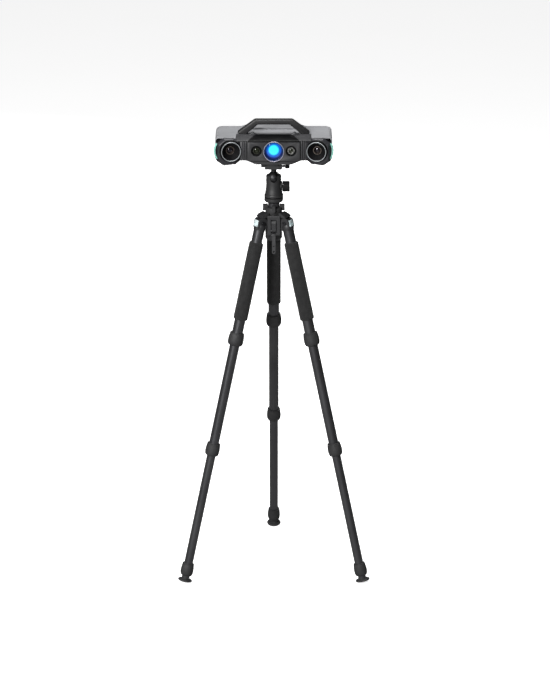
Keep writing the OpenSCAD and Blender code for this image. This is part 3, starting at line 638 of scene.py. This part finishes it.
def camera_eye(side, name):
    """Black barrel, bright ring, stepped baffle and the lens of one camera."""
    matrix = camera_matrix(side)
    barrel = lathe("camera_barrel_" + name,
                   [(31.2, 30), (31.2, 1.5), (30.6, 0), (29.6, -6.4), (29, -7), (28.4, -7.6),
                    (26.2, -7.6), (26.2, 30)], matrix)
    piece(barrel, "scanner", "lens_black", baffle)
    bright = lathe("camera_ring_" + name,
                   [(28.5, -7), (28.3, -8.6), (27.9, -9.2), (26.9, -9.2), (26.2, -8.4),
                    (26.1, -6.5), (27.4, -6)], matrix, 96)
    piece(bright, "scanner", "ring_bright", ring)
    steps = []
    for k in range(8):
        r = 26 - k * 1.7
        z = -7 + k * 2.35
        steps += [(r, z), (r - 0.35, z + 1.6), (r - 1.3, z + 1.9)]
    cone = lathe("camera_baffle_" + name, [(26.1, 24), (26.1, -6.9)] + steps + [(12.4, 24)],
                 matrix)
    piece(cone, "scanner", "lens_black", baffle, "lens_barrels")
    cell = lathe("camera_cell_" + name,
                 [(12.2, 26), (12.2, 10.6), (11.7, 10), (10.4, 10), (9.9, 10.8), (9.2, 13.5),
                  (8.2, 15.5), (8.2, 26)], matrix)
    piece(cell, "scanner", "lens_black", dark_cell)
    lens = lathe("camera_lens_" + name, dome(8.1, 12.2, 3.4, 18), matrix, 48, closed=False)
    piece(lens, "scanner", "lens_glass", glass, "lens_windows")


def camera_strip(side, name):
    """Mint strip: a bulging crescent on the outer side, which thins towards its ends."""
    inner, middle = STRIP_MIDDLE
    across = [(42.8, 10.2), (44.4, 9.6), (46.2, 11.0), (46.9, 14), (46.4, 17.2), (44.8, 19.4),
              (42.8, 19.6)]
    count, steps = len(across), 28
    verts, faces = [], []
    for i in range(steps + 1):
        turn = -1 + 2 * i / steps
        angle = math.radians(-2.5 + 31.5 * turn)
        taper = min(1, 0.35 + 3.2 * math.cos(math.radians(89 * turn)))
        for r, z in across:
            radius = inner + (r - inner) * taper
            depth = middle + (z - middle) * (0.75 + 0.25 * taper)
            verts.append((radius * math.cos(angle), radius * math.sin(angle), depth))
    for i in range(steps):
        faces += [(i * count + k, i * count + (k + 1) % count,
                   (i + 1) * count + (k + 1) % count, (i + 1) * count + k) for k in range(count)]
    faces += [tuple(range(count)), tuple(range(steps * count, len(verts)))]
    strip = new_object("mint_strip_" + name, verts, faces, camera_matrix(side))
    rounded(strip, 0, smooth=60)
    piece(strip, "scanner", "strip_mint", mint, "light_strips")


def build_cameras():
    """Both end housings with all that they hold."""
    for side, name in SIDES:
        camera_lobe(side, name)
        camera_eye(side, name)
        camera_strip(side, name)
    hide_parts("camera_housings")


def build_projector():
    """Bright ring, blue-walled tube and the lit lens in the middle of the fascia."""
    bright = lathe("projector_ring",
                   [(29.6, 3), (29.6, -0.9), (29.1, -1.5), (28.3, -1.5), (27.7, -0.7),
                    (27.6, 3)], FACE, 96)
    piece(bright, "scanner", "ring_bright", dark_ring, "lens_rings")
    tube_wall = lathe("projector_tube",
                      [(27.5, 30), (27.5, -0.6), (26.6, -0.2), (25.2, 3), (24.9, 14), (24.9, 30)],
                      FACE, 96)
    piece(tube_wall, "scanner", "lens_black", blue_wall)
    lens = lathe("projector_glow_lens", dome(24.6, 10.5, 4, 20, step=10), FACE, 96, closed=False)
    piece(lens, "scanner", "lamp_blue", glow, "projector_lens")


def aux_matrix(side):
    """Frame of one small eye, from the front plate back."""
    return FACE @ Matrix.Translation((side * AUX_X, AUX_RISE, 0))


def build_aux(side, name):
    """Small auxiliary camera: barrel and glass."""
    barrel = lathe("aux_barrel_" + name,
                   [(9.8, 24), (9.8, 3.2), (9.3, 2.6), (8.2, 2.6), (7.8, 3.4), (6.6, 5.6),
                    (6.2, 8), (6.2, 24)], aux_matrix(side), 48)
    piece(barrel, "scanner", "lens_black", aux_lit_and_shaded_metal[name])
    lens = lathe("aux_lens_" + name, dome(6.1, 5.6, 2, 10), aux_matrix(side), 40, closed=False)
    piece(lens, "scanner", "lens_glass", aux_glass)


def build_plate():
    """Front plate with its round openings, and a black cup in each small one as painted shade for its
    recess.
    """
    plate = prism("fascia_plate", mirrored([(76, -27.6), (76, 29), (73, 31.5)]), 0, 8, FACE,
                  width=1.6)
    cutters = [lathe("hole", [(0, -8), (29.9, -8), (29.9, 20), (0, 20)], FACE, 96, closed=False)]
    for side, name in SIDES:
        cutters.append(lathe("aux", [(0, -8), (18.5, -8), (15.6, 0), (12.4, 6.8), (12.4, 20),
                                     (0, 20)], aux_matrix(side), 48, closed=False))
    carve(plate, cutters, 0.3)
    piece(plate, "scanner", "shell_dark", shell, "front_fascia")
    for side, name in SIDES:
        # The cups are painted shade: black liners that darken the small recesses
        cup = lathe("aux_shade_cup_" + name,
                    [(9.9, 5.6), (12.0, 5.2), (14.9, -0.2), (15.5, -0.2), (15.5, 0.2),
                     (12.6, 6.4), (12.6, 8.4), (9.9, 8.4)], aux_matrix(side), 48)
        piece(cup, "scanner", "lens_black", baffle)


def build_ribs(side, name):
    """Three upright bars on a backing, between the plate and a camera housing."""
    bars = []
    for k in range(3):
        x = side * (79.4 + 5.4 * k)
        bars.append(prism("bar", rectangle(x - 1.5, x + 1.5, -27, 29.5), 2 + 1.2 * k, 14, FACE,
                          width=0.9))
    bars.append(prism("back", rectangle(side * 76.2, side * 96, -28, 30), 9, 17, FACE,
                      width=0.8))
    piece(join("side_ribs_" + name, bars), "scanner", "shell_dark", lit_rib_plastic)


def build_brow():
    """Slope from the plate up to the deck, its black panel and the blocks at the handle's feet."""
    slope = COLUMN @ Matrix.Translation((0, FRONT, LENS_Z)) @ SIDE_ON
    section = [(1.5, 30.5), (2.5, 32.4), (45, 40.3), (51.7, 40.3), (51.7, 35), (44, 35), (9, 26),
               (9, 30.5)]
    half = fascia_high.x - 0.1
    piece(prism("brow_slope", section, -half, half, slope, width=0.9), "scanner", "shell_dark",
          shell)
    # Each row: half width, then height and depth of the outer skin and of the inner one
    rows = ((74.5, 27.5, -0.5, 27.5, 0.8), (73.5, 31, -0.5, 30.6, 0.8),
            (72.5, 33.2, 2.4, 31.8, 3.0), (54, 40.5, 43.5, 39, 43.5))
    verts = []
    for half, height, depth, sunk_height, sunk_depth in rows:
        verts += [(-half, height, depth), (half, height, depth),
                  (half, sunk_height, sunk_depth), (-half, sunk_height, sunk_depth)]
    faces = [(0, 1, 2, 3), (12, 13, 14, 15)]
    for k in (0, 4, 8):
        faces += [(k + i, k + (i + 1) % 4, k + 4 + (i + 1) % 4, k + 4 + i) for i in range(4)]
    panel = new_object("brow_panel", verts, faces, FACE)
    piece(rounded(panel, 0.4), "scanner", "shell_dark", brow_black)
    for side, name in SIDES:
        outline = [(side * x, y) for x, y in ((50, 39), (70, 39), (68.5, 42.5), (62, 47.6),
                                              (59, 47.6), (51, 41.5))]
        block = prism("brow_block_" + name, outline, 40, 51.6, FACE, width=0.8)
        piece(block, "scanner", "shell_dark", frame_plastic)


def build_handle():
    """Trapezium handle with flat faces and soft edges."""
    low, high = corners("carry_handle")
    top, end = high.z, high.x
    outline = mirrored([(51, top), (56, top - 1.3), (end, top - 37.4), (end - 6, top - 42.9),
                        (end - 25, top - 43.5), (47.5, top - 15.3), (43.5, top - 14.1)])
    bar = prism("carry_bar", outline, low.y, high.y, COLUMN @ FACING, width=3.6, segments=5)
    piece(bar, "scanner", "handle_dark", handle_plastic, "carry_handle")


def build_vents():
    """A black backing, painted shade for the dark inside of the case, and a woven wire screen behind
    the vent slots.
    """
    middle, half_h, half_w, pitch, wire = 12, 15, 86, 3, 0.45
    # The black backing is painted shade: it stands in for the shaded inside behind the slots
    backing = prism("vent_shade_backing", rectangle(-half_w - 1, half_w + 1, middle - half_h - 0.5,
                                              middle + half_h + 0.5), -12.5, -11.5, REAR,
                    width=0.3)
    threads = []
    for x in range(-84, 85, pitch):
        threads.append(prism("thread", rectangle(x - wire, x + wire, middle - half_h,
                                                 middle + half_h), -6.6, -5.8, REAR, width=0))
    for k in range(10):
        z = middle - half_h + 1.5 + pitch * k
        threads.append(prism("thread", rectangle(-half_w, half_w, z - wire, z + wire), -6.8, -6,
                             REAR, width=0))
    piece(backing, "scanner", "shell_dark", baffle)
    piece(join("vent_screen", threads), "scanner", "steel", dark_steel)


def build_ports():
    """Metal mouths and tongues of the two data ports, and the rim of the power inlet."""
    thick, half_w, half_h = 0.5, 4.7, 2.1
    for k, x in enumerate((8, 26)):
        place = REAR @ Matrix.Translation((x, -20.7, 0))
        mouth = prism("port_mouth_%d" % k, rectangle(-half_w, half_w, -half_h, half_h), -5.5,
                      -0.6, place, width=0.5)
        hole = prism("hole", rectangle(thick - half_w, half_w - thick, thick - half_h,
                                       half_h - thick), -6.5, 0.4, place, width=0)
        tongue = prism("port_tongue_%d" % k, rectangle(-3.2, 3.2, -0.4, 0.4), -5.5, -1.4, place,
                       width=0.2)
        piece(carve(mouth, [hole]), "scanner", "steel", steel)
        piece(tongue, "scanner", "shell_dark", shell)
    socket = lathe("power_socket_rim", [(4.35, -0.8), (4.35, 0.3), (4.7, 0.7), (6.2, 0.7),
                                        (6.8, 0.3), (6.8, -0.8)],
                   REAR @ Matrix.Translation((52, -23, 0)), 48)
    piece(socket, "scanner", "steel", dark_steel)


def build_case_screws():
    """Six pan heads with a round recess, on the back wall."""
    heads = []
    for x, y in ((-140, -29), (140, -29), (-140, 23), (140, 23), (-64, -31.5), (74, -13)):
        heads.append(lathe("head", [(0, -1.4), (3, -1.4), (3, 0.5), (2.6, 0.95), (1.7, 0.95),
                                    (1.5, 0.1), (0, 0.1)],
                           REAR @ Matrix.Translation((x, y, -0.4)), 32, closed=False))
    piece(join("case_screws", heads), "scanner", "steel", steel)


def build_scanner():
    """All pieces of the head, and the finishes of its CAD nodes."""
    build_cameras()
    build_projector()
    for side, name in SIDES:
        build_aux(side, name)
    build_plate()
    for side, name in SIDES:
        build_ribs(side, name)
    build_brow()
    build_handle()
    build_vents()
    build_ports()
    build_case_screws()
    dress(["lower_shell"], shell, 0.5)
    dress(["top_cover"], deck, 0.8)
    dress(["optical_bench", "power_button"], steel)
    dress(["main_board"], board)


# ------------------------------------------------------------------ tripod

# The four sections of a leg, from the top down
TUBE_RADII = (16, 14.5, 13, 11.5)


def leg_matrix(leg):
    """Frame of one leg: origin on its hinge, Z up the leg, X outwards; in millimetres."""
    joint = joints["leg_%s_splay" % leg]
    down = Vector(joints["section_b_%s_slide" % leg]["axis"]).normalized()
    across = Vector(joint["axis"]).normalized() * -1
    outward = across.cross(-down)
    turn = Matrix((outward, across, -down)).transposed().to_4x4()
    return Matrix.Translation(joint["pos_m"]) @ turn @ Matrix.Scale(MM, 4)


def reach(leg, node):
    """Where a node starts and ends along its leg, and its radius, in millimetres."""
    back = leg_matrix(leg).inverted()
    points = [back @ v.co for v in nodes[node].data.vertices]
    return (-max(p.z for p in points), -min(p.z for p in points), max(p.x for p in points))


def build_grip(leg):
    """Foam sleeve: soft rounded ends and a slightly uneven, hand-worn skin."""
    start, end, radius = reach(leg, "foam_grip_" + leg)
    steps, rows = 72, 90
    verts, faces = [], []
    length = end - start
    bore = TUBE_RADII[0] + 0.1
    for k in range(rows + 1):
        t = k / rows
        z = -(start + length * t)
        edge = min(t, 1 - t) * length
        lip = 1 - 0.055 * math.exp(-edge / 1.2) - 0.10 * max(0, 1 - edge / 1.6) ** 2
        for i in range(steps):
            a = TAU * i / steps
            wave = (0.12 * math.sin(3 * a + 0.05 * z) * math.sin(0.031 * z + 1.3)
                    + 0.05 * math.sin(7 * a - 0.11 * z))
            r = (radius - 0.2) * lip + wave * min(1, edge / 8)
            verts.append((r * math.cos(a), r * math.sin(a), z))
    for z in (-end + 0.2, -start - 0.2):
        verts += [(bore * math.cos(TAU * i / steps), bore * math.sin(TAU * i / steps), z)
                  for i in range(steps)]
    rings = [list(range(k * steps, (k + 1) * steps)) for k in range(rows + 3)]
    for a, b in zip(rings, rings[1:] + rings[:1]):
        faces += [(a[i], a[(i + 1) % steps], b[(i + 1) % steps], b[i]) for i in range(steps)]
    sleeve = new_object("foam_sleeve_" + leg, verts, faces, leg_matrix(leg))
    rounded(sleeve, 0, smooth=50)
    piece(sleeve, "leg_" + leg, "foam", painted_light_grip if leg == "back" else grip, "foam_grip_" + leg)


def build_lock(leg, key, outer, inner):
    """Twist lock: rubber barrel with a rim, a rounded foot and a fine seam."""
    node = "lock_%s_%s" % (key, leg)
    start, end, radius = reach(leg, node)
    drawn_length = 41
    scale = (end - start) / drawn_length
    shape = [(outer + 0.35, 0.3), (outer + 0.35, 0), (radius - 2.7, 0), (radius - 2.2, 0.5),
             (radius - 2.0, 2.2), (radius - 2.3, 2.5), (radius - 2.3, 3.1), (radius - 1.9, 3.4),
             (radius - 1.2, 8), (radius - 0.4, 15), (radius, 22), (radius - 0.1, 28),
             (radius - 0.8, 33.5), (radius - 2.0, 37.2), (radius - 3.6, 39.6),
             (radius - 5.4, 40.8), (inner + 0.35, drawn_length)]
    profile = [(r, -start - z * scale) for r, z in shape]
    barrel = lathe("twist_%s_%s" % (key, leg), profile, leg_matrix(leg))
    piece(barrel, node, "lock_rubber", black_rubber, node)


def build_foot(leg):
    """Rubber foot: flared disc on a short neck, with a treaded sole."""
    node = "foot_" + leg
    start, end, radius = reach(leg, node)
    drawn_length, tread_count = 9.0, 18
    scale = (end - start) / drawn_length
    shape = [(0, 0), (10.6, 0), (11.6, 1.2), (12.0, 2.2), (15.5, 3.2), (18.5, 4.2),
             (radius - 0.6, 5.4), (radius, 6.2), (radius, 7.6), (radius - 0.8, 8.8),
             (17, drawn_length), (16.4, 8.2), (11, 8.2), (10.4, drawn_length),
             (0, drawn_length)]
    disc = lathe("rubber_foot_" + leg, [(r, -start - z * scale) for r, z in shape],
                 leg_matrix(leg), closed=False)
    treads = []
    for i in range(tread_count):
        turn = leg_matrix(leg) @ Matrix.Rotation(TAU * i / tread_count, 4, "Z")
        treads.append(prism("tread", [(11.4, -1.1), (16.2, -1.5), (16.2, 1.5), (11.4, 1.1)],
                            -end + 0.02, -end + 1.4, turn, width=0.3))
    joined = join("sole_tread_" + leg, treads)
    piece(disc, "section_d_" + leg, "foot_rubber", black_rubber, node)
    piece(joined, "section_d_" + leg, "foot_rubber", black_rubber)


def build_ball_head():
    """A near-black lip ring in the panning groove, painted shade that darkens the groove, and the
    collar behind the lock knob.
    """
    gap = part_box("ball_housing")[0].z / MM
    # The lip ring's near-black finish is painted shade for the panning groove
    groove_shade_ring = lathe("pan_groove_shade_ring", [(23.7, 0.12), (26.5, -1.0), (26.9, -0.6), (26.9, 1.4), (26.5, 1.8),
                                  (23.7, 0.4)],
                   COLUMN @ Matrix.Translation((0, 0, gap)), 96)
    piece(groove_shade_ring, "ball_housing", "knob_rubber", baffle)
    knob_low, knob_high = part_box("ball_knob")
    height = (knob_low.z + knob_high.z) / 2 / MM
    across = COLUMN @ Matrix.Translation((0, 0, height)) @ Matrix.Rotation(math.radians(90), 4, "Y")
    collar = lathe("knob_collar", [(12.6, 19.5), (14.9, 19.5), (15.3, 21), (15.3, 24.2), (14.9, 24.6),
                                   (12.6, 24.6)], across, 64)
    piece(collar, "ball_housing", "knob_rubber", knob_rubber)


def build_tripod():
    """All pieces of the legs and the ball head, and the finishes of their CAD nodes."""
    for leg in LEGS:
        build_grip(leg)
        for k, key in enumerate("abc"):
            build_lock(leg, key, TUBE_RADII[k], TUBE_RADII[k + 1])
        build_foot(leg)
    build_ball_head()
    dress(per_leg("leg_casting") + ["spider"], cast, 0.6)
    dress(["load_hook"], hook_paint, 0.3)
    for kind in ("upper_tube", "tube_b", "tube_c", "tube_d"):
        dress(per_leg(kind), tube)
    dress(per_leg("angle_tab"), tab, 0.3)
    dress(["hinge_bolts"], dark_steel, 0.3)
    dress(["release_lever"], shell, 0.4)
    dress(["center_column"], tube)
    dress(["column_lock_ring"], black_rubber, 0.4)
    dress(["ball_knob", "clamp_knob"], knob_rubber, 0.4)
    dress(["pan_base", "ball_housing"], head_paint)
    dress(["clamp_body", "clamp_jaw", "quick_release_plate"], head_paint, 0.5)
    dress(["ball_stem"], ball_metal)


build_camera()
build_stage()
build_scanner()
build_tripod()
